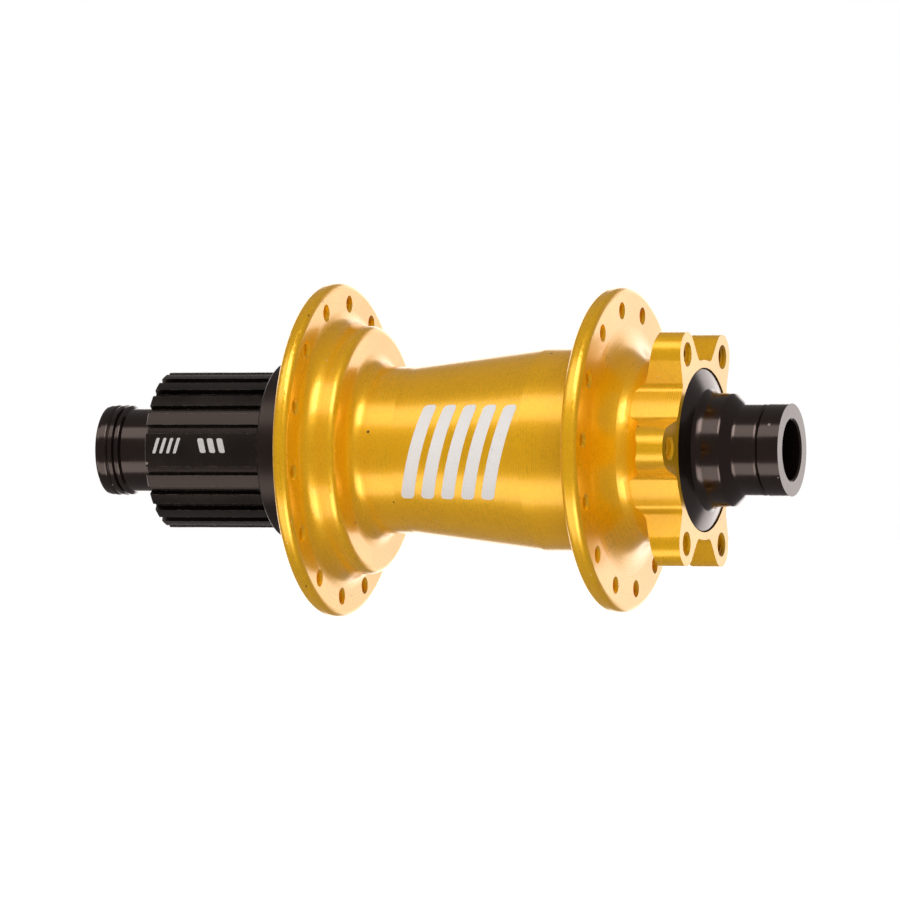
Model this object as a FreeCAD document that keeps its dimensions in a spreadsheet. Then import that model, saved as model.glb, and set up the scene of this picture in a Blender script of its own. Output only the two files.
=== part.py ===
import FreeCAD, Part
import math
import os
import Sketcher

# Bicycle rear hub, 12 x 148 mm, 28 spokes, six-bolt rotor mount, splined freehub.
# Millimetres. The origin is the middle of the axle, halfway between the end faces.
# +Y runs along the axle to the disc-brake side, +Z is up, +X is forward.
# Angles about the axle start at +Z and grow towards +X, the forward spin.

SIZES = {
    # over-locknut width and the thru-axle bore
    "half_width": 74.0,
    "bore_rad": 6.1,
    # hub shell: flanges
    "left_rim": 34.2,
    "left_face": -22.16,
    "left_thick": 3.2,
    "left_pitch": 30.0,
    "left_phase": -4.1,
    "right_rim": 33.0,
    "right_face": 35.79,
    "right_thick": 3.5,
    "right_pitch": 28.5,
    "right_phase": 8.76,
    "rim_round": 1.25,
    "spoke_rad": 1.3,
    "spoke_flare": 1.78,
    "spoke_count": 14,
    # hub shell: body
    "boss_rad": 22.6,
    "boss_end": -29.0,
    "shoulder_rad": 25.4,
    "shoulder_end": -15.2,
    "shoulder_fillet": 3.4,
    "shoulder_edge": 1.5,
    "waist_rad": 17.05,
    "waist_fillet": 3.0,
    "taper_start": -6.0,
    "taper_end": 22.5,
    "barrel_rad": 20.7,
    "barrel_fillet": 2.2,
    "shell_hollow": 17.4,
    # hub shell: rotor mount
    "neck_rad": 17.37,
    "neck_sweep": 8.0,
    "neck_end": 47.2,
    "neck_fillet": 3.5,
    "mount_face": 55.44,
    "lobe_edge": 49.7,
    "lobe_pitch": 22.0,
    "lobe_rad": 4.55,
    "lobe_phase": 29.1,
    "valley_half": 11.8,
    "valley_rad": 18.2,
    "valley_fillet": 2.0,
    "shield_bore": 16.65,
    "bolt_rad": 2.1,
    "bolt_flare": 2.5,
    "bolt_depth": 5.2,
    "bolt_count": 6,
    # drive ring
    "ring_rad": 20.5,
    "ring_end": -18.5,
    "lip_rad": 18.3,
    "lip_end": -27.5,
    "tooth_tip": 17.2,
    "tooth_count": 60,
    "tooth_flank": 21.6,
    # axle
    "axle_rad": 8.5,
    "axle_hole": 7.2,
    "axle_left": -60.5,
    "axle_right": 55.0,
    "sleeve_rad": 10.0,
    "spigot_rad": 7.15,
    "spigot_long": 7.5,
    "band_rad": 0.24,
    # shell bearings, 17 x 30 x 7
    "big_outer": 15.0,
    "big_wide": 7.0,
    "big_ball": 2.0,
    "big_pitch": 11.75,
    "big_left": -15.5,
    "big_right": 46.0,
    "big_count": 13,
    # freehub bearings, 17 x 26 x 5
    "slim_outer": 13.0,
    "slim_wide": 5.0,
    "slim_ball": 1.4,
    "slim_pitch": 10.75,
    "slim_left": -59.5,
    "slim_right": -25.0,
    "slim_count": 16,
    # freehub body
    "spline_rad": 16.05,
    "spline_root": 14.9,
    "spline_left": -60.1,
    "spline_right": -35.6,
    "spline_count": 23,
    "seal_rad": 18.0,
    "seal_seat": 15.4,
    "seal_left": -34.9,
    "seal_right": -28.4,
    "carrier_rad": 16.6,
    "carrier_end": -19.2,
    "hub_hollow": 11.6,
    # pawls
    "pawl_count": 6,
    "pawl_pivot": 15.2,
    "pawl_heel": 1.2,
    "pawl_reach": 6.2,
    "pawl_left": -27.1,
    "pawl_wide": 6.8,
    "pawl_gap": 0.1,
}

doc = FreeCAD.newDocument("RearHub")
sheet = doc.addObject("Spreadsheet::Sheet", "Dims")
for row, (alias, number) in enumerate(SIZES.items(), start=1):
    sheet.set(f"A{row}", alias)
    sheet.set(f"B{row}", str(number))
    sheet.setAlias(f"B{row}", alias)
doc.recompute()


class Size:
    """A number and the sheet expression that gives it, so sketches stay bound to the sheet."""

    def __init__(self, value, text):
        self.value = value
        self.text = text

    @staticmethod
    def of(thing):
        if isinstance(thing, Size):
            return thing
        return Size(float(thing), f"({float(thing)})")

    def join(self, sign, other, value):
        return Size(value, f"({self.text} {sign} {other.text})")

    def __add__(self, other):
        other = Size.of(other)
        return self.join("+", other, self.value + other.value)

    def __sub__(self, other):
        other = Size.of(other)
        return self.join("-", other, self.value - other.value)

    def __rsub__(self, other):
        return Size.of(other) - self

    def __mul__(self, other):
        other = Size.of(other)
        return self.join("*", other, self.value * other.value)

    def __truediv__(self, other):
        other = Size.of(other)
        return self.join("/", other, self.value / other.value)

    def __neg__(self):
        return Size(-self.value, f"(0 - {self.text})")

    __radd__ = __add__
    __rmul__ = __mul__


def dim(alias):
    """The size kept in the sheet under this alias."""
    return Size(float(sheet.get(alias)), f"Dims.{alias}")


def sin(angle):
    angle = Size.of(angle)
    return Size(math.sin(math.radians(angle.value)), f"sin({angle.text} * 1 deg)")


def cos(angle):
    angle = Size.of(angle)
    return Size(math.cos(math.radians(angle.value)), f"cos({angle.text} * 1 deg)")


def root(number):
    return Size(math.sqrt(number.value), f"sqrt({number.text})")


# ---------------------------------------------------------------- sketches and features

def new_body(label):
    body = doc.addObject("PartDesign::Body", label)
    body.Label = label
    body.AllowCompound = True
    return body


def origin_item(body, role):
    for item in body.Origin.OriginFeatures:
        if item.Role == role:
            return item
    raise ValueError(role)


def new_sketch(body, name, plane="XY_Plane", station=None, turn=None):
    """A sketch on an origin plane: moved along Y by station, or turned about Y by turn."""
    sketch = body.newObject("Sketcher::SketchObject", f"{body.Label}_{name}")
    sketch.AttachmentSupport = [(origin_item(body, plane), "")]
    sketch.MapMode = "FlatFace"
    if station is not None:
        sketch.AttachmentOffset = FreeCAD.Placement(
            FreeCAD.Vector(0, 0, -station.value), FreeCAD.Rotation())
        sketch.setExpression("AttachmentOffset.Base.z", (-station).text)
    if turn is not None:
        turn = Size.of(turn)
        sketch.AttachmentOffset = FreeCAD.Placement(
            FreeCAD.Vector(), FreeCAD.Rotation(FreeCAD.Vector(1, 0, 0), turn.value))
        sketch.setExpression("AttachmentOffset.Rotation.Angle", turn.text)
    return sketch


def bind(sketch, kind, *where, size):
    """A driving constraint whose value comes from the sheet."""
    index = sketch.addConstraint(Sketcher.Constraint(kind, *where, size.value))
    sketch.setExpression(f"Constraints[{index}]", size.text)


def arc_between(start, end, radius, side):
    """The short arc between two points: side +1 bulges to the left of the way, -1 to the right."""
    chord = end - start
    across = FreeCAD.Vector(-chord.y, chord.x, 0).normalize() * side
    rise = math.sqrt(max(radius ** 2 - (chord.Length / 2) ** 2, 0.0))
    centre = (start + end) * 0.5 - across * rise
    first, last = (end, start) if side > 0 else (start, end)
    angles = [math.atan2(place.y - centre.y, place.x - centre.x) for place in (first, last)]
    circle = Part.Circle(centre, FreeCAD.Vector(0, 0, 1), radius)
    return Part.ArcOfCircle(circle, angles[0], angles[1])


def draw(sketch, points, arcs=None):
    """A closed outline. Each point is (x, y); arcs maps a leg's number to (radius, side)."""
    arcs = arcs or {}
    sizes = [(Size.of(x), Size.of(y)) for x, y in points]
    places = [FreeCAD.Vector(x.value, y.value, 0) for x, y in sizes]
    count = len(places)
    ends = []
    for number in range(count):
        start, end = places[number], places[(number + 1) % count]
        # an arc always runs counter-clockwise, so one that bulges left is stored backwards
        if number in arcs:
            radius, side = arcs[number]
            sketch.addGeometry(arc_between(start, end, Size.of(radius).value, side), False)
            ends.append((2, 1) if side > 0 else (1, 2))
        else:
            sketch.addGeometry(Part.LineSegment(start, end), False)
            ends.append((1, 2))
    for number in range(count):
        following = (number + 1) % count
        sketch.addConstraint(Sketcher.Constraint(
            "Coincident", number, ends[number][1], following, ends[following][0]))
    for number, (x, y) in enumerate(sizes):
        first = ends[number][0]
        for kind, size, axis in (("DistanceX", x, -2), ("DistanceY", y, -1)):
            if abs(size.value) < 1e-9:
                sketch.addConstraint(Sketcher.Constraint("PointOnObject", number, first, axis))
            else:
                bind(sketch, kind, -1, 1, number, first, size=size)
    for number, (radius, side) in arcs.items():
        bind(sketch, "Radius", number, size=Size.of(radius))


def add_axis(sketch, low, high):
    """A construction line between two corners of the outline, each given as (leg, end, x, y)."""
    start = FreeCAD.Vector(low[2].value, low[3].value, 0)
    end = FreeCAD.Vector(high[2].value, high[3].value, 0)
    line = sketch.addGeometry(Part.LineSegment(start, end), True)
    sketch.addConstraint(Sketcher.Constraint("Coincident", line, 1, low[0], low[1]))
    sketch.addConstraint(Sketcher.Constraint("Coincident", line, 2, high[0], high[1]))


def revolve(body, name, points, arcs=None):
    """A turned solid: the outline's points are (radius, station along the axle)."""
    sketch = new_sketch(body, f"{name}_outline")
    draw(sketch, points, arcs)
    turned = body.newObject("PartDesign::Revolution", f"{body.Label}_{name}")
    turned.Profile = sketch
    turned.ReferenceAxis = (sketch, ["V_Axis"])
    turned.Angle = 360.0
    doc.recompute()
    return turned


def pad(body, name, outline, arcs, station, length):
    """A plate cut square to the axle: it starts at station and grows to the disc side."""
    sketch = new_sketch(body, f"{name}_outline", "XZ_Plane", station)
    draw(sketch, outline, arcs)
    plate = body.newObject("PartDesign::Pad", f"{body.Label}_{name}")
    plate.Profile = sketch
    plate.Reversed = True
    plate.setExpression("Length", Size.of(length).text)
    doc.recompute()
    return plate


def pocket(body, name, outline, arcs, station, length):
    """A pocket square to the axle: it starts at station and goes to the disc side."""
    before = body.Shape.Volume
    sketch = new_sketch(body, f"{name}_outline", "XZ_Plane", station)
    draw(sketch, outline, arcs)
    cut = body.newObject("PartDesign::Pocket", f"{body.Label}_{name}")
    cut.Profile = sketch
    cut.Reversed = False
    cut.setExpression("Length", Size.of(length).text)
    doc.recompute()
    check_cut(cut, before)
    return cut


def side_hole(body, name, pitch, turn, stations):
    """A turned hole beside the axle. stations are (station, radius) down the hole's own axis."""
    before = body.Shape.Volume
    sketch = new_sketch(body, f"{name}_outline", "YZ_Plane", turn=turn)
    pitch = Size.of(pitch)
    low = Size.of(stations[0][0])
    high = Size.of(stations[-1][0])
    points = [(low, pitch)]
    points += [(station, pitch + radius) for station, radius in stations]
    points.append((high, pitch))
    draw(sketch, points)
    add_axis(sketch, (0, 1, low, pitch), (len(points) - 1, 1, high, pitch))
    cut = body.newObject("PartDesign::Groove", f"{body.Label}_{name}")
    cut.Profile = sketch
    cut.ReferenceAxis = (sketch, ["Axis0"])
    cut.Angle = 360.0
    doc.recompute()
    check_cut(cut, before)
    return cut


def sphere(body, kind, pitch, middle, ball):
    """A sphere on the +Z side of the axle: a Revolution adds it, a Groove cuts it away."""
    before = body.Shape.Volume if kind == "Groove" else 0.0
    sketch = new_sketch(body, "sphere_outline", "YZ_Plane")
    points = [(middle - ball, pitch), (middle, pitch + ball), (middle + ball, pitch)]
    draw(sketch, points, {0: (ball, 1), 1: (ball, 1)})
    add_axis(sketch, (0, 2, middle - ball, pitch), (2, 1, middle + ball, pitch))
    feature = body.newObject(f"PartDesign::{kind}", f"{body.Label}_Sphere")
    feature.Profile = sketch
    feature.ReferenceAxis = (sketch, ["Axis0"])
    feature.Angle = 360.0
    doc.recompute()
    if kind == "Groove":
        check_cut(feature, before)
    return feature


def check_cut(feature, before):
    if feature.Shape.Volume > before - 1e-3:
        raise RuntimeError(f"{feature.Name} removed nothing")


def polar(body, name, feature, count, angle=360.0):
    """Copies of a feature about the axle, each of which has to change the body as much."""
    pattern = body.newObject("PartDesign::PolarPattern", f"{body.Label}_{name}")
    pattern.Originals = [feature]
    pattern.Axis = (origin_item(body, "Y_Axis"), [""])
    pattern.Angle = angle
    pattern.Occurrences = count
    body.Tip = pattern
    doc.recompute()
    before = feature.BaseFeature.Shape.Volume if feature.BaseFeature else 0.0
    each = feature.Shape.Volume - before
    if abs(pattern.Shape.Volume - before - each * count) > 0.02 * abs(each):
        raise RuntimeError(f"{pattern.Name} lacks a copy")
    return pattern


def rings(shape, radius, station):
    """The names of the round edges about the axle with this radius at this station."""
    wanted = []
    for number, edge in enumerate(shape.Edges, start=1):
        curve = edge.Curve
        if not isinstance(curve, Part.Circle):
            continue
        on_axle = math.hypot(curve.Center.x, curve.Center.z) < 1e-4
        same = abs(curve.Radius - radius.value) < 1e-3 and abs(curve.Center.y - station.value) < 1e-3
        if on_axle and same:
            wanted.append(f"Edge{number}")
    if not wanted:
        raise RuntimeError(f"no ring of radius {radius.value} at {station.value}")
    return wanted


def soften(body, kind, amount, *places):
    """A fillet or chamfer on the rings at these (radius, station) places."""
    base = body.Tip
    names = []
    for radius, station in places:
        names += rings(base.Shape, Size.of(radius), Size.of(station))
    feature = body.newObject(f"PartDesign::{kind}", f"{body.Label}_{kind}")
    feature.Base = (base, names)
    bound = "Radius" if kind == "Fillet" else "Size"
    feature.setExpression(bound, Size.of(amount).text)
    doc.recompute()
    if "Invalid" in feature.State:
        raise RuntimeError(f"{feature.Name} failed")
    return feature


def tube(label, inner, outer, start, end, chamfer=0.0):
    """A plain turned ring with both outer edges broken."""
    body = new_body(label)
    revolve(body, "Ring", [(inner, start), (outer, start), (outer, end), (inner, end)])
    if chamfer:
        soften(body, "Chamfer", chamfer, (outer, start), (outer, end))
    return body


def about(radius, angle):
    """The point of the XZ plane at this radius and angle (angles grow from +Z to +X)."""
    return radius * sin(angle), radius * cos(angle)


def beside(along, out, angle):
    """The point at a distance along the tangent and out from the axle, at this angle."""
    x = along * cos(angle) + out * sin(angle)
    z = out * cos(angle) - along * sin(angle)
    return x, z


# ---------------------------------------------------------------- hub shell

def make_hub_shell():
    body = new_body("hub_shell")
    left_back = dim("left_face") - dim("left_thick")
    right_back = dim("right_face") + dim("right_thick")
    # the sweep from the right flange into the neck is an arc tangent to the flange
    drop = dim("neck_sweep") - (dim("neck_end") - right_back)
    reach = root(dim("neck_sweep") * dim("neck_sweep") - drop * drop)
    sweep_top = dim("neck_rad") + reach
    # the mount is turned a hair under the lobes' own circles, so each lobe keeps a narrow land
    lobe_top = dim("lobe_pitch") + dim("lobe_rad") - 0.05
    inner_end = dim("big_left") + dim("big_wide")
    bore_step = 13.6
    points = [
        (dim("ring_rad"), dim("boss_end")),
        (dim("boss_rad"), dim("boss_end")),
        (dim("boss_rad"), left_back),
        (dim("left_rim"), left_back),
        (dim("left_rim"), dim("left_face")),
        (dim("shoulder_rad"), dim("left_face")),
        (dim("shoulder_rad"), dim("shoulder_end")),
        (dim("waist_rad"), dim("shoulder_end")),
        (dim("waist_rad"), dim("taper_start")),
        (dim("barrel_rad"), dim("taper_end")),
        (dim("barrel_rad"), dim("right_face")),
        (dim("right_rim"), dim("right_face")),
        (dim("right_rim"), right_back),
        (sweep_top, right_back),
        (dim("neck_rad"), dim("neck_end")),
        (lobe_top, dim("lobe_edge")),
        (lobe_top, dim("mount_face")),
        (dim("shield_bore"), dim("mount_face")),
        (dim("shield_bore"), dim("big_right") + dim("big_wide")),
        (dim("big_outer"), dim("big_right") + dim("big_wide")),
        (dim("big_outer"), dim("big_right")),
        (bore_step, dim("big_right")),
        (bore_step, dim("big_right") - 2.0),
        (dim("shell_hollow"), dim("right_face")),
        (dim("shell_hollow"), dim("taper_end") + 3.0),
        (bore_step, dim("taper_start") + 1.0),
        (bore_step, inner_end),
        (dim("big_outer"), inner_end),
        (dim("big_outer"), dim("big_left")),
        (dim("big_outer") + 0.1, dim("big_left")),
        (dim("big_outer") + 0.1, dim("ring_end")),
        (dim("ring_rad"), dim("ring_end")),
    ]
    revolve(body, "Shell", points, {13: (dim("neck_sweep"), 1)})
    soften(body, "Fillet", dim("shoulder_fillet"), (dim("shoulder_rad"), dim("left_face")))
    soften(body, "Fillet", dim("waist_fillet"), (dim("waist_rad"), dim("shoulder_end")))
    soften(body, "Fillet", dim("shoulder_edge"), (dim("shoulder_rad"), dim("shoulder_end")))
    soften(body, "Fillet", dim("barrel_fillet"), (dim("barrel_rad"), dim("right_face")))
    soften(body, "Fillet", dim("neck_fillet"), (dim("neck_rad"), dim("neck_end")))
    soften(body, "Fillet", 2.0, (dim("boss_rad"), left_back))
    soften(body, "Fillet", dim("rim_round"),
           (dim("left_rim"), left_back), (dim("left_rim"), dim("left_face")),
           (dim("right_rim"), right_back), (dim("right_rim"), dim("right_face")))
    soften(body, "Chamfer", 0.5, (dim("boss_rad"), dim("boss_end")))
    soften(body, "Fillet", 0.8, (lobe_top, dim("lobe_edge")))
    cut_lobes(body)
    for side, face, thick in (("left", "left_face", -dim("left_thick")),
                              ("right", "right_face", dim("right_thick"))):
        drill_flange(body, side, dim(face), thick)
    drill_rotor_bolts(body)
    return body


def cut_lobes(body):
    """Six valleys that leave a round lobe about each rotor bolt."""
    spacing = Size.of(360.0) / dim("bolt_count")
    middle = dim("lobe_phase") + spacing / 2
    half = spacing / 2
    valley = dim("valley_half")
    floor = dim("valley_rad")
    outside = dim("lobe_pitch") + dim("lobe_rad") + 2.0
    # neighbouring valleys stop short of each other, beyond the land on top of the lobe
    short = half - 1.0
    turn = half - 6.0
    lobe = dim("lobe_rad")

    # half of the outline, in distances across the valley and out from the axle:
    # the wall runs from the floor's corner, tangent to the circle about the bolt
    corner = (floor * sin(valley), floor * cos(valley))
    across = dim("lobe_pitch") * sin(half) - corner[0]
    out = dim("lobe_pitch") * cos(half) - corner[1]
    squared = across * across + out * out
    tangent = root(squared - lobe * lobe)
    along = ((across * tangent - out * lobe) / squared, (out * tangent + across * lobe) / squared)
    foot = (corner[0] + along[0] * tangent, corner[1] + along[1] * tangent)
    # the fillet's centre is one radius from the wall and one radius above the floor
    fillet = dim("valley_fillet")
    normal = (-along[1], along[0])
    clear = normal[0] * corner[0] + normal[1] * corner[1] + fillet
    reach = root((floor + fillet) * (floor + fillet) - clear * clear)
    centre = (normal[0] * clear + along[0] * reach, normal[1] * clear + along[1] * reach)
    floor_end = (centre[0] * floor / (floor + fillet), centre[1] * floor / (floor + fillet))
    wall_end = (centre[0] - normal[0] * fillet, centre[1] - normal[1] * fillet)

    pitch = dim("lobe_pitch")
    top = (pitch * sin(half) + lobe * sin(turn), pitch * cos(half) + lobe * cos(turn))

    def mirror(place, side):
        return beside(place[0] * side, place[1], middle)

    points = [
        mirror(floor_end, -1),
        mirror(wall_end, -1),
        mirror(foot, -1),
        mirror(top, -1),
        about(outside, middle - short),
        about(outside, middle + short),
        mirror(top, 1),
        mirror(foot, 1),
        mirror(wall_end, 1),
        mirror(floor_end, 1),
    ]
    arcs = {0: (fillet, 1), 2: (lobe, -1), 4: (outside, 1), 6: (lobe, -1), 8: (fillet, 1),
            9: (floor, -1)}
    # the floor starts where the neck's sweep has come down below it
    start = dim("neck_end") - 3.1
    cut = pocket(body, "Valley", points, arcs, start, dim("mount_face") - start + 1.0)
    polar(body, "Valleys", cut, SIZES["bolt_count"])


def drill_flange(body, side, face, thick):
    """Spoke holes with a small flare at both faces."""
    small = dim("spoke_rad")
    wide = dim("spoke_flare")
    flare = wide - small
    sign = 1 if thick.value > 0 else -1
    back = face + thick
    stations = [
        (face - 0.6 * sign, wide),
        (face, wide),
        (face + flare * sign, small),
        (back - flare * sign, small),
        (back, wide),
        (back + 0.6 * sign, wide),
    ]
    hole = side_hole(body, f"{side}Spoke", dim(f"{side}_pitch"), dim(f"{side}_phase"), stations)
    polar(body, f"{side}Spokes", hole, SIZES["spoke_count"])


def drill_rotor_bolts(body):
    """Blind tapped holes with a flare at the face and a drill point at the bottom."""
    face = dim("mount_face")
    small = dim("bolt_rad")
    wide = dim("bolt_flare")
    stations = [
        (face + 0.5, wide),
        (face, wide),
        (face - (wide - small), small),
        (face - dim("bolt_depth"), small),
        (face - dim("bolt_depth") - 0.6, 0.3),
    ]
    hole = side_hole(body, "Bolt", dim("lobe_pitch"), dim("lobe_phase"), stations)
    polar(body, "Bolts", hole, SIZES["bolt_count"])


# ---------------------------------------------------------------- drive ring

def make_drive_ring():
    """Steel ring with ratchet teeth: a long ramp and a steep flank that the pawls push on."""
    body = new_body("drive_ring")
    revolve(body, "Ring", [
        (dim("lip_rad"), dim("boss_end")),
        (dim("ring_rad"), dim("boss_end")),
        (dim("ring_rad"), dim("ring_end")),
        (dim("tooth_tip"), dim("ring_end")),
        (dim("tooth_tip"), dim("lip_end")),
        (dim("lip_rad"), dim("lip_end")),
    ])
    spacing = Size.of(360.0) / dim("tooth_count")
    flank = dim("tooth_flank")
    points = [
        about(dim("tooth_tip") - 0.3, flank - spacing * 0.92),
        about(dim("tooth_tip"), flank - spacing * 0.92),
        about(dim("lip_rad"), flank - spacing * 0.12),
        about(dim("lip_rad"), flank),
        about(dim("tooth_tip") - 0.3, flank),
    ]
    cut = pocket(body, "Tooth", points, None, dim("lip_end") - 0.2,
                 dim("ring_end") - dim("lip_end") + 0.4)
    polar(body, "Teeth", cut, SIZES["tooth_count"])
    return body


# ---------------------------------------------------------------- axle and end caps

def make_axle():
    body = new_body("axle")
    sleeve_left = dim("big_left") + dim("big_wide")
    revolve(body, "Tube", [
        (dim("axle_hole"), dim("axle_left")),
        (dim("axle_rad"), dim("axle_left")),
        (dim("axle_rad"), sleeve_left),
        (dim("sleeve_rad"), sleeve_left),
        (dim("sleeve_rad"), dim("big_right")),
        (dim("axle_rad"), dim("big_right")),
        (dim("axle_rad"), dim("axle_right")),
        (dim("axle_hole"), dim("axle_right")),
    ])
    soften(body, "Chamfer", 0.3, (dim("axle_rad"), dim("axle_left")),
           (dim("axle_rad"), dim("axle_right")))
    return body


def band_groove(middle):
    """The groove in a cap's spigot that holds its rubber ring."""
    half = dim("band_rad") + 0.06
    floor = dim("spigot_rad") - dim("band_rad") * 1.9
    return [
        (dim("spigot_rad"), middle - half),
        (floor, middle - half),
        (floor, middle + half),
        (dim("spigot_rad"), middle + half),
    ]


def make_disc_cap():
    """Black cap: bearing shield, stepped cone and the end that sits in the frame."""
    body = new_body("end_cap_disc")
    face = dim("half_width")
    bearing = dim("big_right") + dim("big_wide")
    axle_end = dim("axle_right")
    tip = axle_end - dim("spigot_long")
    middle = tip + 2.4
    end_rad = 9.4
    waist = 9.3
    band = 11.5
    shield = dim("shield_bore") - 0.15
    points = [
        (dim("bore_rad"), tip),
        (dim("spigot_rad"), tip),
    ]
    points += band_groove(middle)
    points += [
        (dim("spigot_rad"), axle_end),
        (dim("axle_rad") + 0.05, axle_end),
        (dim("axle_rad") + 0.05, bearing),
        (10.0, bearing),
        (10.0, bearing + 0.45),
        (shield, bearing + 0.45),
        (shield, face - 18.8),
        (12.5, face - 17.3),
        (band, face - 15.5),
        (band, face - 12.0),
        (waist, face - 9.8),
        (waist, face - 5.1),
        (waist - 0.5, face - 4.6),
        (waist - 0.5, face - 4.3),
        (end_rad, face - 4.2),
        (end_rad, face),
        (dim("bore_rad"), face),
    ]
    hollow = len(points) - 10
    revolve(body, "Cap", points, {hollow: (2.15, 1)})
    soften(body, "Fillet", 0.8, (band, face - 12.0))
    soften(body, "Fillet", 1.1, (waist, face - 9.8))
    soften(body, "Fillet", 0.8, (waist, face - 5.1))
    soften(body, "Fillet", 0.3, (shield, face - 18.8))
    soften(body, "Chamfer", 0.35, (dim("bore_rad"), face))
    return body


def make_drive_cap():
    """Black cap with two low ridges outside the freehub."""
    body = new_body("end_cap_drive")
    face = -dim("half_width")
    bearing = dim("slim_left")
    axle_end = dim("axle_left")
    tip = axle_end + dim("spigot_long")
    middle = tip - 2.4
    ridge = 9.3
    collar = 8.6
    skirt = 9.8
    points = [
        (dim("bore_rad"), face),
        (ridge - 0.15, face),
        (ridge, face + 0.9),
        (ridge, face + 2.1),
        (ridge - 0.35, face + 2.5),
        (ridge, face + 2.9),
        (ridge, face + 3.7),
        (ridge - 0.6, face + 4.0),
        (ridge - 0.6, face + 4.25),
        (ridge - 0.1, face + 4.5),
        (ridge - 0.1, face + 5.0),
        (collar, face + 5.5),
        (collar, bearing - 2.0),
        (skirt, bearing - 2.0),
        (skirt, bearing),
        (dim("axle_rad") + 0.05, bearing),
        (dim("axle_rad") + 0.05, axle_end),
        (dim("spigot_rad"), axle_end),
    ]
    points += band_groove(middle)
    points += [
        (dim("spigot_rad"), tip),
        (dim("bore_rad"), tip),
    ]
    revolve(body, "Cap", points)
    soften(body, "Fillet", 0.35, (ridge, face + 0.9), (ridge, face + 2.1), (ridge, face + 2.9))
    soften(body, "Fillet", 0.4, (ridge - 0.15, face))
    soften(body, "Fillet", 0.25, (ridge - 0.1, face + 5.0))
    soften(body, "Chamfer", 0.35, (dim("bore_rad"), face))
    return body


def make_band(label, middle):
    """A rubber ring of round section in the groove of a cap's spigot."""
    ring = doc.addObject("Part::Torus", label)
    ring.Label = label
    seat = dim("spigot_rad") - dim("band_rad") * 0.9
    ring.setExpression("Radius1", seat.text)
    ring.setExpression("Radius2", dim("band_rad").text)
    ring.Placement = FreeCAD.Placement(
        FreeCAD.Vector(0, middle.value, 0), FreeCAD.Rotation(FreeCAD.Vector(1, 0, 0), 90))
    ring.setExpression("Placement.Base.y", middle.text)
    return ring


# ---------------------------------------------------------------- freehub

def make_freehub_body():
    body = new_body("freehub_body")
    seat_left = dim("slim_left") + dim("slim_wide")
    revolve(body, "Carrier", [
        (dim("slim_outer"), dim("spline_left")),
        (dim("spline_rad"), dim("spline_left")),
        (dim("spline_rad"), dim("spline_right")),
        (dim("seal_seat"), dim("spline_right")),
        (dim("seal_seat"), dim("seal_right")),
        (dim("carrier_rad"), dim("seal_right")),
        (dim("carrier_rad"), dim("carrier_end")),
        (dim("slim_outer"), dim("carrier_end")),
        (dim("slim_outer"), dim("slim_right")),
        (dim("hub_hollow"), dim("slim_right")),
        (dim("hub_hollow"), seat_left),
        (dim("slim_outer"), seat_left),
    ])
    soften(body, "Chamfer", 0.15, (dim("spline_rad"), dim("spline_left")))
    cut_splines(body)
    cut_pawl_pockets(body)
    return body


def cut_splines(body):
    """Valleys between the splines. The one that faces +X is left out, for one wide spline."""
    spacing = Size.of(360.0) / dim("spline_count")
    middle = spacing + 90.0
    floor_half = 2.9
    mouth_half = 3.5
    mouth = dim("spline_rad") + 0.5
    points = [
        about(dim("spline_root"), middle - floor_half),
        about(mouth, middle - mouth_half),
        about(mouth, middle + mouth_half),
        about(dim("spline_root"), middle + floor_half),
    ]
    start = dim("spline_left") - 0.5
    cut = pocket(body, "Spline", points, {3: (dim("spline_root"), -1)}, start,
                 dim("spline_right") + 0.3 - start)
    count = SIZES["spline_count"] - 1
    polar(body, "Splines", cut, count, 360.0 / SIZES["spline_count"] * (count - 1))


def cut_pawl_pockets(body):
    socket = dim("pawl_heel") + dim("pawl_gap")
    pivot = dim("pawl_pivot")
    points = [
        (-socket, pivot),
        (0.0, pivot - socket),
        (dim("pawl_reach") + 0.8, pivot - socket),
        (dim("pawl_reach") + 0.8, dim("carrier_rad") + 0.9),
        (-socket, dim("carrier_rad") + 0.9),
    ]
    cut = pocket(body, "PawlPocket", points, {0: (socket, -1)},
                 dim("pawl_left") - dim("pawl_gap"), dim("pawl_wide") + dim("pawl_gap") * 2)
    polar(body, "PawlPockets", cut, SIZES["pawl_count"])


def make_pawl(number):
    """A pawl: a round heel in its socket and a nose that points along the forward spin."""
    body = new_body(f"pawl_{number + 1}")
    angle = number * 360.0 / SIZES["pawl_count"]
    heel = dim("pawl_heel")
    pivot = dim("pawl_pivot")
    reach = dim("pawl_reach")
    outline = [
        (-heel, pivot),
        (0.0, pivot - heel),
        (reach - 0.15, pivot - 0.7),
        (reach, pivot + 0.58),
        (reach - 0.5, pivot + 0.72),
        (0.0, pivot + heel),
    ]
    points = [beside(Size.of(along), out, angle) for along, out in outline]
    pad(body, "Pawl", points, {0: (heel, -1), 5: (heel, -1)}, dim("pawl_left"), dim("pawl_wide"))
    return body


def make_pawl_springs():
    """Six leaf springs, each flat on its pocket's floor with its end turned up."""
    body = new_body("pawl_springs")
    floor = dim("pawl_pivot") - dim("pawl_heel") - dim("pawl_gap")
    thin = 0.15
    start = 2.2
    end = dim("pawl_reach") + 0.55
    points = [
        (start, floor + 0.01),
        (end, floor + 0.01),
        (end, floor + 0.45),
        (end - thin, floor + 0.45),
        (end - thin, floor + thin),
        (start, floor + thin),
    ]
    leaf = pad(body, "Leaf", points, None, dim("pawl_left") + 1.9, 3.0)
    polar(body, "Leaves", leaf, SIZES["pawl_count"])
    return body


# ---------------------------------------------------------------- bearings

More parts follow.
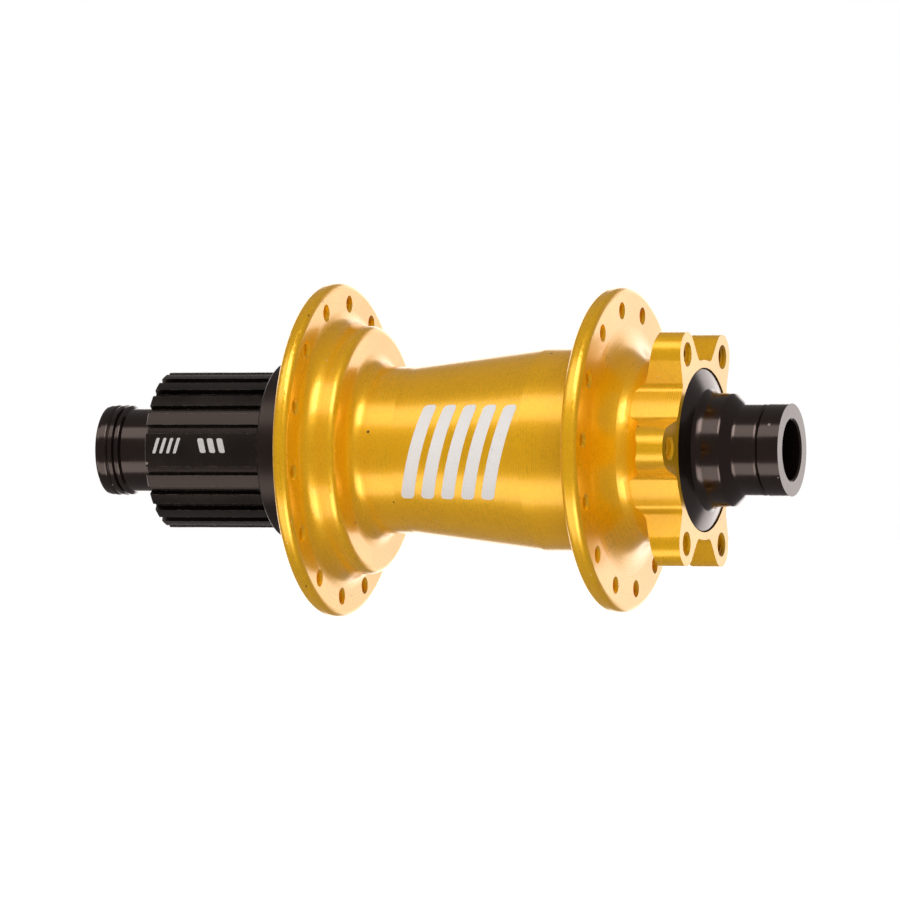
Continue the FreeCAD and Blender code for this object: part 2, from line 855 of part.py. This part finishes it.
def make_bearing(label, family, start):
    """Races, balls, cage and seals of one deep-groove ball bearing that begins at start."""
    inner = dim("axle_rad")
    outer = dim(f"{family}_outer")
    wide = dim(f"{family}_wide")
    ball = dim(f"{family}_ball")
    pitch = dim(f"{family}_pitch")
    count = SIZES[f"{family}_count"]
    end = start + wide
    middle = start + wide / 2
    inner_land = pitch - ball * 0.62
    outer_land = pitch + ball * 0.62
    groove = ball + 0.04
    half_track = root(groove * groove - ball * ball * 0.62 * 0.62)
    seal_step = 0.55
    seal_deep = 0.6

    race = new_body(f"{label}_inner_race")
    revolve(race, "Race", [
        (inner, start), (inner_land, start), (inner_land, middle - half_track),
        (inner_land, middle + half_track), (inner_land, end), (inner, end),
    ], {2: (groove, 1)})

    race = new_body(f"{label}_outer_race")
    revolve(race, "Race", [
        (outer, start), (outer, end), (outer_land + seal_step, end),
        (outer_land + seal_step, end - seal_deep), (outer_land, end - seal_deep),
        (outer_land, middle + half_track), (outer_land, middle - half_track),
        (outer_land, start + seal_deep), (outer_land + seal_step, start + seal_deep),
        (outer_land + seal_step, start),
    ], {5: (groove, 1)})
    soften(race, "Chamfer", 0.25, (outer, start), (outer, end))

    balls = new_body(f"{label}_balls")
    first = sphere(balls, "Revolution", pitch, middle, ball)
    polar(balls, "Set", first, count)

    cage = new_body(f"{label}_cage")
    thin = ball * 0.45
    high = ball * 1.3
    revolve(cage, "Ring", [
        (pitch - thin, middle - high), (pitch + thin, middle - high),
        (pitch + thin, middle + high), (pitch - thin, middle + high),
    ])
    window = sphere(cage, "Groove", pitch, middle, ball + 0.08)
    polar(cage, "Windows", window, count)

    seals = new_body(f"{label}_seals")
    shield = [(start, start + seal_deep - 0.1), (end - seal_deep + 0.1, end)]
    for number, (low, high_side) in enumerate(shield):
        inset = 0.08
        bottom = low + inset if number == 0 else low
        top = high_side if number == 0 else high_side - inset
        revolve(seals, f"Seal{number + 1}", [
            (inner_land + 0.12, bottom), (outer_land + seal_step, bottom),
            (outer_land + seal_step, top), (inner_land + 0.12, top),
        ])


# ---------------------------------------------------------------- the whole hub

make_hub_shell()
make_drive_ring()
make_axle()
make_disc_cap()
make_drive_cap()
make_band("o_ring_disc", dim("axle_right") - dim("spigot_long") + 2.4)
make_band("o_ring_drive", dim("axle_left") + dim("spigot_long") - 2.4)
make_freehub_body()
tube("seal_ring", dim("seal_seat"), dim("seal_rad"), dim("seal_left"), dim("seal_right"), 0.25)
tube("freehub_spacer", dim("axle_rad"), dim("sleeve_rad"),
     dim("slim_left") + dim("slim_wide"), dim("slim_right"), 0.2)
tube("inner_spacer", dim("axle_rad"), dim("sleeve_rad"),
     dim("slim_right") + dim("slim_wide"), dim("big_left"), 0.2)
for number in range(SIZES["pawl_count"]):
    make_pawl(number)
make_pawl_springs()
make_bearing("shell_bearing_drive", "big", dim("big_left"))
make_bearing("shell_bearing_disc", "big", dim("big_right"))
make_bearing("freehub_bearing_outer", "slim", dim("slim_left"))
make_bearing("freehub_bearing_inner", "slim", dim("slim_right"))
doc.recompute()


def sub_parts():
    kinds = ("PartDesign::Body", "Part::Torus")
    return [item for item in doc.Objects if item.TypeId in kinds]


for item in doc.Objects:
    if "Invalid" in item.State or "Error" in item.State:
        raise RuntimeError(f"{item.Name} is {item.State}")
for item in sub_parts():
    if item.Shape.isNull() or not item.Shape.isValid():
        raise RuntimeError(f"{item.Label} has a bad shape")

os.makedirs("parts", exist_ok=True)
for item in sub_parts():
    item.Shape.exportStep(f"parts/{item.Label}.step")
    print(f"{item.Label}: {len(item.Shape.Solids)} solids, {item.Shape.Volume:.1f} mm3")
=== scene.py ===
import math

import bmesh
import bpy
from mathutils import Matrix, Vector


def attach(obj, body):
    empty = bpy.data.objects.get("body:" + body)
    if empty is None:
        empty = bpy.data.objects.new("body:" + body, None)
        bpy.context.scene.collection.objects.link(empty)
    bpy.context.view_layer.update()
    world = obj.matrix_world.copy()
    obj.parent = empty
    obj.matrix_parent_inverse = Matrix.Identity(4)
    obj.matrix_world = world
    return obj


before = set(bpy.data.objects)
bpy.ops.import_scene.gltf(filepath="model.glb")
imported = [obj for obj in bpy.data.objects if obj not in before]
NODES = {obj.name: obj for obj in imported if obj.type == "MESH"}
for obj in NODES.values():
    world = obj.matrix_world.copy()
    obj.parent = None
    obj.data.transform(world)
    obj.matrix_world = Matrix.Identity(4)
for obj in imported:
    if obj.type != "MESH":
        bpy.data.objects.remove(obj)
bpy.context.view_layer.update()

MM = 0.001
BEARINGS = ("shell_bearing_drive", "shell_bearing_disc",
            "freehub_bearing_outer", "freehub_bearing_inner")

# the main view: across the axle, turned towards the brake-rotor side
VIEW_TURN = math.radians(20.16)
VIEW_BACK = Vector((math.cos(VIEW_TURN), math.sin(VIEW_TURN), 0))
VIEW_RIGHT = Vector((-math.sin(VIEW_TURN), math.cos(VIEW_TURN), 0))
VIEW_FAR = 1.92
VIEW_SHIFT = 0.58 * MM
LENS = 376.2

# the shell's taper, the wide spline's skin and the rotor bolts, in mm
WAIST_RADIUS = 17.05
TAPER_RISE = 3.65
TAPER_START = -6.0
TAPER_END = 22.5
SKIN_GAP = 0.012
SPLINE_SKIN = 16.062
BOLT_PITCH_RADIUS = 22.0
BOLT_PHASE = 29.1
BOLT_COUNT = 6
BOLT_HOLE_RADIUS = 2.1
THREAD_DEPTH = 0.5
THREAD_LEAD = 0.8
THREAD_START = 50.6
THREAD_END = 54.8

LIGHT_TILT = 49.0


# ---------------------------------------------------------------- nodes of a material

class Shader:
    """A material with one Principled shader and short names for the nodes that feed it."""

    def __init__(self, name, **sockets):
        self.material = bpy.data.materials.new(name)
        self.material.use_nodes = True
        self.tree = self.material.node_tree
        self.tree.nodes.clear()
        self.out = self.tree.nodes.new("ShaderNodeOutputMaterial")
        self.skin = self.tree.nodes.new("ShaderNodeBsdfPrincipled")
        self.link(self.skin.outputs["BSDF"], self.out.inputs["Surface"])
        for socket, value in sockets.items():
            self.skin.inputs[socket.replace("_", " ")].default_value = value

    def link(self, source, target):
        self.tree.links.new(source, target)

    def feed(self, target, value):
        """Puts a number, a colour or another node's output into a socket."""
        if isinstance(value, bpy.types.NodeSocket):
            self.link(value, target)
        else:
            target.default_value = value

    def place(self):
        """The surface point in metres, in the object's own frame."""
        return self.tree.nodes.new("ShaderNodeTexCoord").outputs["Object"]

    def parts(self, vector):
        node = self.tree.nodes.new("ShaderNodeSeparateXYZ")
        self.feed(node.inputs[0], vector)
        return node.outputs["X"], node.outputs["Y"], node.outputs["Z"]

    def vector(self, x, y, z):
        node = self.tree.nodes.new("ShaderNodeCombineXYZ")
        for socket, value in zip(node.inputs, (x, y, z)):
            self.feed(socket, value)
        return node.outputs[0]

    def math(self, kind, first, second=0.0, clamp=False):
        node = self.tree.nodes.new("ShaderNodeMath")
        node.operation = kind
        node.use_clamp = clamp
        self.feed(node.inputs[0], first)
        self.feed(node.inputs[1], second)
        return node.outputs[0]

    def noise(self, vector, scale, detail=3.0, roughness=0.5):
        node = self.tree.nodes.new("ShaderNodeTexNoise")
        self.feed(node.inputs["Vector"], vector)
        node.inputs["Scale"].default_value = scale
        node.inputs["Detail"].default_value = detail
        node.inputs["Roughness"].default_value = roughness
        return node.outputs["Fac"]

    def noise_1d(self, value, scale, detail=4.0):
        node = self.tree.nodes.new("ShaderNodeTexNoise")
        node.noise_dimensions = "1D"
        self.feed(node.inputs["W"], value)
        node.inputs["Scale"].default_value = scale
        node.inputs["Detail"].default_value = detail
        return node.outputs["Fac"]

    def ramp(self, value, low, high, start=0.0, end=1.0):
        """Maps low..high onto start..end."""
        node = self.tree.nodes.new("ShaderNodeMapRange")
        self.feed(node.inputs["Value"], value)
        node.inputs["From Min"].default_value = low
        node.inputs["From Max"].default_value = high
        node.inputs["To Min"].default_value = start
        node.inputs["To Max"].default_value = end
        return node.outputs[0]

    def mix(self, factor, first, second):
        node = self.tree.nodes.new("ShaderNodeMix")
        node.data_type = "RGBA"
        self.feed(node.inputs["Factor"], factor)
        self.feed(node.inputs["A"], first)
        self.feed(node.inputs["B"], second)
        return node.outputs["Result"]

    def bump(self, height, strength, distance, normal=None):
        node = self.tree.nodes.new("ShaderNodeBump")
        node.inputs["Strength"].default_value = strength
        node.inputs["Distance"].default_value = distance
        self.feed(node.inputs["Height"], height)
        if normal is not None:
            self.feed(node.inputs["Normal"], normal)
        return node.outputs[0]

    def specks(self, vector, scale, size, rarity):
        """1 on small scattered dots, 0 elsewhere: this share of the cells has none."""
        node = self.tree.nodes.new("ShaderNodeTexVoronoi")
        self.feed(node.inputs["Vector"], vector)
        node.inputs["Scale"].default_value = scale
        chosen = self.parts(node.outputs["Color"])[0]
        near = self.math("LESS_THAN", node.outputs["Distance"], size * 3.0)
        return self.math("MULTIPLY", near, self.math("GREATER_THAN", chosen, rarity))

    def hairlines(self, radius, station, angle):
        """Faint short scratches that run slantwise along the skin."""
        slant = self.math("ADD", self.math("MULTIPLY", angle, 9.0),
                          self.math("MULTIPLY", station, 160.0))
        run = self.math("MULTIPLY", self.math("ADD", station, radius), 1300.0)
        cells = self.noise(self.vector(self.math("MULTIPLY", slant, 14.0), run, 0.0), 1.0, 1.0)
        patch = self.noise(self.place(), 140.0, 2.0)
        line = self.ramp(cells, 0.74, 0.78)
        return self.math("MULTIPLY", line, self.ramp(patch, 0.5, 0.6))

    def rubbed_edges(self, place, width):
        """1 along sharp edges, where handling has rubbed the finish."""
        bevel = self.tree.nodes.new("ShaderNodeBevel")
        bevel.samples = 4
        bevel.inputs["Radius"].default_value = width
        flat = self.tree.nodes.new("ShaderNodeNewGeometry").outputs["Normal"]
        dot = self.tree.nodes.new("ShaderNodeVectorMath")
        dot.operation = "DOT_PRODUCT"
        self.link(bevel.outputs[0], dot.inputs[0])
        self.link(flat, dot.inputs[1])
        edge = self.ramp(dot.outputs["Value"], 0.97, 0.80)
        return self.math("MULTIPLY", edge, self.ramp(self.noise(place, 700.0, 3.0), 0.42, 0.62))

    def axle_place(self):
        """Radius, station and angle about the axle of the surface point."""
        x, y, z = self.parts(self.place())
        radius = self.math("SQRT", self.math("ADD", self.math("MULTIPLY", x, x),
                                             self.math("MULTIPLY", z, z)))
        angle = self.math("ARCTAN2", x, z)
        return radius, y, angle


def paint(material, *names):
    for name in names:
        slots = NODES[name].data.materials
        slots.clear()
        slots.append(material)


def colour(red, green, blue):
    return (red, green, blue, 1.0)


# ---------------------------------------------------------------- materials

def gold_material():
    """Satin anodised aluminium: fine turning marks, sandy grain, tiny pits and light hairlines."""
    made = Shader("gold_anodised", Metallic=0.46, Specular_IOR_Level=0.5, Coat_Weight=0.58,
                  Coat_Roughness=0.15, Coat_IOR=1.5)
    radius, station, angle = made.axle_place()
    place = made.place()
    along = made.math("ADD", station, radius)
    turning = made.noise_1d(along, 9000.0, 2.0)
    broad = made.noise_1d(along, 700.0, 2.0)
    smear = made.noise(place, 90.0, 5.0, 0.6)
    grain = made.noise(place, 2600.0, 2.0, 0.6)
    pit = made.specks(place, 300.0, 0.030, 0.88)
    dust = made.specks(place, 560.0, 0.024, 0.90)
    scratch = made.hairlines(radius, station, angle)

    tone = made.mix(made.ramp(smear, 0.3, 0.7), colour(0.90, 0.465, 0.001),
                    colour(0.95, 0.495, 0.002))
    tone = made.mix(made.ramp(grain, 0.35, 0.65, 0.0, 0.6), tone, colour(0.76, 0.370, 0.001))
    tone = made.mix(made.math("MULTIPLY", scratch, 0.2), tone, colour(0.95, 0.72, 0.35))
    tone = made.mix(dust, tone, colour(0.95, 0.76, 0.45))
    tone = made.mix(pit, tone, colour(0.10, 0.05, 0.01))
    made.link(tone, made.skin.inputs["Base Color"])
    rough = made.math("ADD", made.ramp(turning, 0.3, 0.7, 0.27, 0.30),
                      made.ramp(smear, 0.35, 0.65, -0.02, 0.03))
    made.link(made.math("ADD", rough, made.math("MULTIPLY", dust, 0.3)),
              made.skin.inputs["Roughness"])
    fine = made.bump(turning, 0.015, 0.00002)
    wide = made.bump(broad, 0.015, 0.00005, fine)
    sandy = made.bump(grain, 0.6, 0.00003, wide)
    made.link(made.bump(made.math("SUBTRACT", 1.0, pit), 0.6, 0.00005, sandy),
              made.skin.inputs["Normal"])
    return made.material


def black_material(name, base, roughness, grain_depth, gloss, wear=0.0):
    """Black anodised aluminium or rubber with turning marks, grain, dust and rubbed edges."""
    made = Shader(name, IOR=gloss, Specular_Tint=colour(1.0, 0.76, 0.68))
    radius, station = made.axle_place()[:2]
    place = made.place()
    turning = made.noise_1d(made.math("ADD", station, radius), 7000.0, 2.0)
    smear = made.noise(place, 120.0, 4.0, 0.6)
    grain = made.noise(place, 6500.0, 2.0, 0.5)
    dust = made.specks(place, 380.0, 0.04, 0.93)
    dark = colour(*(channel * 0.75 for channel in base))
    light = colour(*(channel * 1.3 for channel in base))
    tone = made.mix(made.ramp(smear, 0.3, 0.7), dark, light)
    tone = made.mix(made.math("MULTIPLY", dust, 0.6), tone, colour(0.34, 0.29, 0.24))
    if wear:
        tone = made.mix(made.rubbed_edges(place, wear), tone, colour(0.11, 0.10, 0.09))
    made.link(tone, made.skin.inputs["Base Color"])
    rough = made.math("ADD", made.ramp(turning, 0.3, 0.7, roughness - 0.03, roughness + 0.04),
                      made.ramp(smear, 0.35, 0.65, -0.03, 0.03))
    made.link(rough, made.skin.inputs["Roughness"])
    fine = made.bump(turning, 0.04, 0.00002)
    skin = made.bump(grain, grain_depth, 0.00003, fine)
    made.link(skin, made.skin.inputs["Normal"])
    return made.material


def print_material(name, base):
    """Laser-etched or printed marks: a matt pale grey, a little uneven."""
    made = Shader(name)
    place = made.place()
    mottle = made.noise(place, 2600.0, 3.0, 0.6)
    pit = made.specks(place, 700.0, 0.05, 0.92)
    dark = colour(*(channel * 0.92 for channel in base))
    tone = made.mix(made.ramp(mottle, 0.3, 0.7), dark, colour(*base))
    made.link(made.mix(made.math("MULTIPLY", pit, 0.5), tone, colour(0.5, 0.42, 0.3)),
              made.skin.inputs["Base Color"])
    made.link(made.ramp(mottle, 0.3, 0.7, 0.5, 0.65), made.skin.inputs["Roughness"])
    made.link(made.bump(mottle, 0.2, 0.00002), made.skin.inputs["Normal"])
    return made.material


def steel_material(name, base, roughness):
    """Ground steel."""
    made = Shader(name, Metallic=1.0)
    radius, station = made.axle_place()[:2]
    place = made.place()
    ground = made.noise_1d(made.math("ADD", station, radius), 12000.0, 2.0)
    smear = made.noise(place, 300.0, 4.0, 0.6)
    dark = colour(*(channel * 0.85 for channel in base))
    made.link(made.mix(made.ramp(smear, 0.3, 0.7), dark, colour(*base)),
              made.skin.inputs["Base Color"])
    rough = made.math("ADD", made.ramp(ground, 0.3, 0.7, roughness, roughness + 0.1),
                      made.ramp(smear, 0.3, 0.7, -0.03, 0.03))
    made.link(rough, made.skin.inputs["Roughness"])
    made.link(made.bump(ground, 0.1, 0.00002), made.skin.inputs["Normal"])
    return made.material


def plastic_material(name, base, roughness):
    """Moulded nylon or rubber with a fine mottled skin."""
    made = Shader(name)
    place = made.place()
    mottle = made.noise(place, 900.0, 3.0, 0.6)
    dark = colour(*(channel * 0.8 for channel in base))
    made.link(made.mix(mottle, dark, colour(*base)), made.skin.inputs["Base Color"])
    made.link(made.ramp(mottle, 0.3, 0.7, roughness - 0.08, roughness + 0.08),
              made.skin.inputs["Roughness"])
    made.link(made.bump(made.noise(place, 4000.0), 0.15, 0.00003), made.skin.inputs["Normal"])
    return made.material


def finish_nodes():
    gold = gold_material()
    paint(gold, "hub_shell")
    paint(black_material("cap_black_anodised", (0.004, 0.0025, 0.002), 0.16, 0.04, 1.66),
          "end_cap_disc", "end_cap_drive")
    paint(black_material("freehub_black_anodised", (0.006, 0.005, 0.004), 0.26, 0.14, 1.48,
                         wear=0.0002), "freehub_body")
    paint(black_material("seal_black_rubber", (0.007, 0.005, 0.004), 0.32, 0.05, 1.5),
          "seal_ring", "o_ring_disc", "o_ring_drive")
    paint(steel_material("axle_turned", (0.62, 0.62, 0.64), 0.25),
          "axle", "freehub_spacer", "inner_spacer")
    tool = steel_material("tool_steel", (0.36, 0.36, 0.37), 0.30)
    paint(tool, "drive_ring", *(f"pawl_{number}" for number in range(1, 7)))
    paint(steel_material("spring_steel", (0.55, 0.54, 0.52), 0.2), "pawl_springs")
    races = steel_material("race_steel", (0.68, 0.68, 0.70), 0.10)
    balls = steel_material("ball_steel", (0.80, 0.80, 0.82), 0.04)
    cage = plastic_material("cage_nylon", (0.62, 0.57, 0.44), 0.5)
    seal = plastic_material("seal_rubber", (0.025, 0.03, 0.05), 0.45)
    for bearing in BEARINGS:
        paint(races, f"{bearing}_inner_race", f"{bearing}_outer_race")
        paint(balls, f"{bearing}_balls")
        paint(cage, f"{bearing}_cage")
        paint(seal, f"{bearing}_seals")


# ---------------------------------------------------------------- pieces

def new_piece(name, body, material, points, faces):
    """A closed mesh piece that rides on a body."""
    mesh = bpy.data.meshes.new(name)
    mesh.from_pydata(points, [], faces)
    mesh.validate()
    work = bmesh.new()
    work.from_mesh(mesh)
    bmesh.ops.recalc_face_normals(work, faces=work.faces)
    work.to_mesh(mesh)
    work.free()
    mesh.shade_smooth()
    mesh.set_sharp_from_angle(angle=math.radians(35))
    mesh.materials.append(material)
    piece = bpy.data.objects.new(name, mesh)
    bpy.context.scene.collection.objects.link(piece)
    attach(piece, body)
    return piece


def rounded_half(far, reach, corner):
    """Half the width of a bar at this distance from its middle, drawn in round its corners."""
    into = far - (reach - corner)
    if into <= 0:
        return 0.0
    return corner - math.sqrt(max(corner * corner - into * into, 0.0))


def skin_bar(points, faces, surface, centre, wide, tall, slant, corner, rise):
    """A thin slanted bar with round corners that lies on the skin of the part.

    surface(station) gives the skin's radius; centre is (station, angle)."""
    rows, columns = 24, 8
    station0, angle0 = centre
    base = len(points)
    for layer in (0.0, rise):
        for row in range(rows + 1):
            up = -math.cos(math.pi * row / rows) * tall / 2
            half = wide / 2 - rounded_half(abs(up), tall / 2, corner)
            for column in range(columns + 1):
                station = station0 + up * slant + half * (2 * column / columns - 1)
                radius = surface(station) + layer
                angle = angle0 - up / surface(station0)
                points.append((radius * math.sin(angle), station, radius * math.cos(angle)))

    def at(layer, row, column):
        return base + (layer * (rows + 1) + row) * (columns + 1) + column

    for layer in (0, 1):
        for row in range(rows):
            for column in range(columns):
                faces.append((at(layer, row, column), at(layer, row, column + 1),
                              at(layer, row + 1, column + 1), at(layer, row + 1, column)))
    for row in range(rows):
        for column in (0, columns):
            faces.append((at(0, row, column), at(0, row + 1, column),
                          at(1, row + 1, column), at(1, row, column)))
    for column in range(columns):
        for row in (0, rows):
            faces.append((at(0, row, column), at(0, row, column + 1),
                          at(1, row, column + 1), at(1, row, column)))


def taper(station):
    """The radius of the shell between its waist and its barrel, a hair above the metal."""
    start, end = TAPER_START * MM, TAPER_END * MM
    share = min(max((station - start) / (end - start), 0.0), 1.0)
    return (WAIST_RADIUS + TAPER_RISE * share + SKIN_GAP) * MM


def add_shell_mark():
    """A plain row of slanted bars, a generic print on the front of the shell."""
    points, faces = [], []
    bars, pitch = 5, 4.55 * MM
    middle = (8.6 * MM, math.radians(92.0))
    for number in range(bars):
        station = middle[0] + (number - (bars - 1) / 2) * pitch
        skin_bar(points, faces, taper, (station, middle[1]), 2.9 * MM, 20.0 * MM, 0.28,
                 0.9 * MM, 0.03 * MM)
    new_piece("shell_mark", "shell_group", print_material("mark_print", (0.74, 0.72, 0.70)),
              points, faces)


def add_freehub_marks():
    """Two small generic prints on the wide spline: a row of ticks and a row of short bars."""
    def land(station):
        return SPLINE_SKIN * MM

    points, faces = [], []
    angle = math.radians(86.8)
    for number in range(4):
        centre = ((-57.6 + 1.5 * number) * MM, angle)
        skin_bar(points, faces, land, centre, 0.7 * MM, 3.2 * MM, 0.3, 0.25 * MM, 0.02 * MM)
    for number in range(3):
        centre = ((-47.6 + 2.1 * number) * MM, angle)
        skin_bar(points, faces, land, centre, 1.3 * MM, 3.0 * MM, -0.25, 0.4 * MM, 0.02 * MM)
    new_piece("freehub_mark", "freehub_group", print_material("freehub_print", (0.50, 0.48, 0.46)),
              points, faces)


def helix_ridge(points, faces, centre, angle0, bore, depth, lead, start, end):
    """A thread's ridge inside a hole along the axle: a triangle swept round a helix."""
    steps_per_turn = 28
    steps = int(steps_per_turn * (end - start) / lead)
    base = len(points)
    for step in range(steps + 1):
        turn = angle0 + 2 * math.pi * step / steps_per_turn
        station = start + lead * step / steps_per_turn
        taper_in = min(1.0, step / 8, (steps - step) / 8)
        for radius, shift in ((bore + 0.02 * MM, -0.36 * lead), (bore - depth * taper_in, 0.0),
                              (bore + 0.02 * MM, 0.36 * lead)):
            points.append((centre[0] + radius * math.sin(turn),
                           station + shift * max(taper_in, 0.1),
                           centre[1] + radius * math.cos(turn)))
    for step in range(steps):
        low = base + step * 3
        for side in range(3):
            following = (side + 1) % 3
            faces.append((low + side, low + following, low + 3 + following, low + 3 + side))
    faces.append((base, base + 1, base + 2))
    last = base + steps * 3
    faces.append((last + 2, last + 1, last))


def add_bolt_threads(gold):
    """The M5 threads of the six rotor-bolt holes."""
    pitch = BOLT_PITCH_RADIUS * MM
    points, faces = [], []
    for number in range(BOLT_COUNT):
        angle = math.radians(BOLT_PHASE + 60.0 * number)
        centre = (pitch * math.sin(angle), pitch * math.cos(angle))
        helix_ridge(points, faces, centre, angle, BOLT_HOLE_RADIUS * MM, THREAD_DEPTH * MM,
                    THREAD_LEAD * MM, THREAD_START * MM, THREAD_END * MM)
    new_piece("rotor_threads", "shell_group", gold, points, faces)


def add_pieces():
    add_shell_mark()
    add_freehub_marks()
    add_bolt_threads(bpy.data.materials["gold_anodised"])


# ---------------------------------------------------------------- camera, light and floor

def aim(thing, place, target):
    thing.location = place
    thing.rotation_euler = (target - place).to_track_quat("-Z", "Y").to_euler()


def add_camera():
    data = bpy.data.cameras.new("camera")
    data.lens = LENS
    data.sensor_width = 36.0
    data.clip_start = 0.1
    data.clip_end = 50.0
    camera = bpy.data.objects.new("camera", data)
    bpy.context.scene.collection.objects.link(camera)
    place = VIEW_BACK * VIEW_FAR + VIEW_RIGHT * VIEW_SHIFT
    aim(camera, place, place - VIEW_BACK)
    bpy.context.scene.camera = camera


def add_strip(name, tilt, span, tall, middle, power):
    """A long soft light that lies along the axle, at this angle above the level in the XZ plane."""
    far = 0.9
    data = bpy.data.lights.new(name, "AREA")
    data.shape = "RECTANGLE"
    data.size = span
    data.size_y = tall
    data.energy = power
    light = bpy.data.objects.new(name, data)
    bpy.context.scene.collection.objects.link(light)
    level = math.radians(tilt)
    place = Vector((far * math.cos(level), middle, far * math.sin(level)))
    aim(light, place, Vector((0, middle, 0)))
    light.visible_camera = False


def add_world():
    """A white studio: a wide white band behind the object, dim everywhere else."""
    world = bpy.data.worlds.new("studio")
    bpy.context.scene.world = world
    world.use_nodes = True
    tree = world.node_tree
    tree.nodes.clear()
    out = tree.nodes.new("ShaderNodeOutputWorld")
    white = tree.nodes.new("ShaderNodeBackground")
    room = tree.nodes.new("ShaderNodeBackground")
    seen = tree.nodes.new("ShaderNodeLightPath")
    mix = tree.nodes.new("ShaderNodeMixShader")
    tree.links.new(seen.outputs["Is Camera Ray"], mix.inputs["Fac"])
    tree.links.new(room.outputs[0], mix.inputs[1])
    tree.links.new(white.outputs[0], mix.inputs[2])
    tree.links.new(mix.outputs[0], out.inputs["Surface"])
    white.inputs["Color"].default_value = colour(1.0, 1.0, 1.0)
    white.inputs["Strength"].default_value = 1.0

    room.inputs["Color"].default_value = colour(1.0, 0.95, 0.93)
    coord = tree.nodes.new("ShaderNodeTexCoord")
    dot = tree.nodes.new("ShaderNodeVectorMath")
    dot.operation = "DOT_PRODUCT"
    tree.links.new(coord.outputs["Generated"], dot.inputs[0])
    dot.inputs[1].default_value = VIEW_BACK
    behind = tree.nodes.new("ShaderNodeMapRange")
    behind.inputs["From Min"].default_value = -0.62
    behind.inputs["From Max"].default_value = -0.72
    tree.links.new(dot.outputs["Value"], behind.inputs["Value"])
    parts = tree.nodes.new("ShaderNodeSeparateXYZ")
    tree.links.new(coord.outputs["Generated"], parts.inputs[0])
    height = tree.nodes.new("ShaderNodeMath")
    height.operation = "ABSOLUTE"
    tree.links.new(parts.outputs["Z"], height.inputs[0])
    level = tree.nodes.new("ShaderNodeMapRange")
    level.inputs["From Min"].default_value = 0.42
    level.inputs["From Max"].default_value = 0.34
    tree.links.new(height.outputs[0], level.inputs["Value"])
    sweep = tree.nodes.new("ShaderNodeMath")
    sweep.operation = "MULTIPLY"
    tree.links.new(behind.outputs[0], sweep.inputs[0])
    tree.links.new(level.outputs[0], sweep.inputs[1])
    strength = tree.nodes.new("ShaderNodeMath")
    strength.operation = "MULTIPLY_ADD"
    tree.links.new(sweep.outputs[0], strength.inputs[0])
    strength.inputs[1].default_value = 1.85
    strength.inputs[2].default_value = 0.22
    tree.links.new(strength.outputs[0], room.inputs["Strength"])


def add_floor():
    bpy.ops.mesh.primitive_plane_add(size=20.0, location=(0, 0, -0.12))
    floor = bpy.context.object
    floor.name = "floor"
    made = Shader("floor_white", Roughness=0.9)
    speck = made.noise(made.place(), 3.0)
    tone = made.mix(speck, colour(0.90, 0.90, 0.90), colour(0.93, 0.93, 0.93))
    made.link(tone, made.skin.inputs["Base Color"])
    made.skin.inputs["Emission Color"].default_value = colour(1.0, 1.0, 1.0)
    made.skin.inputs["Emission Strength"].default_value = 1.2
    floor.data.materials.append(made.material)
    floor.visible_shadow = False
    floor.visible_glossy = False
    floor.visible_diffuse = False


def light_the_studio():
    add_strip("strip_top", LIGHT_TILT, 2.0, 0.50, -0.15, 5.3)
    add_strip("strip_bottom", -LIGHT_TILT, 2.0, 0.50, -0.15, 5.2)
    add_strip("softbox_top", LIGHT_TILT, 0.85, 0.46, 0.40, 4.6)
    add_strip("softbox_bottom", -LIGHT_TILT, 0.85, 0.46, 0.40, 4.5)
    add_world()
    add_floor()
    bpy.context.scene.view_settings.view_transform = "Standard"


add_camera()
finish_nodes()
add_pieces()
light_the_studio()
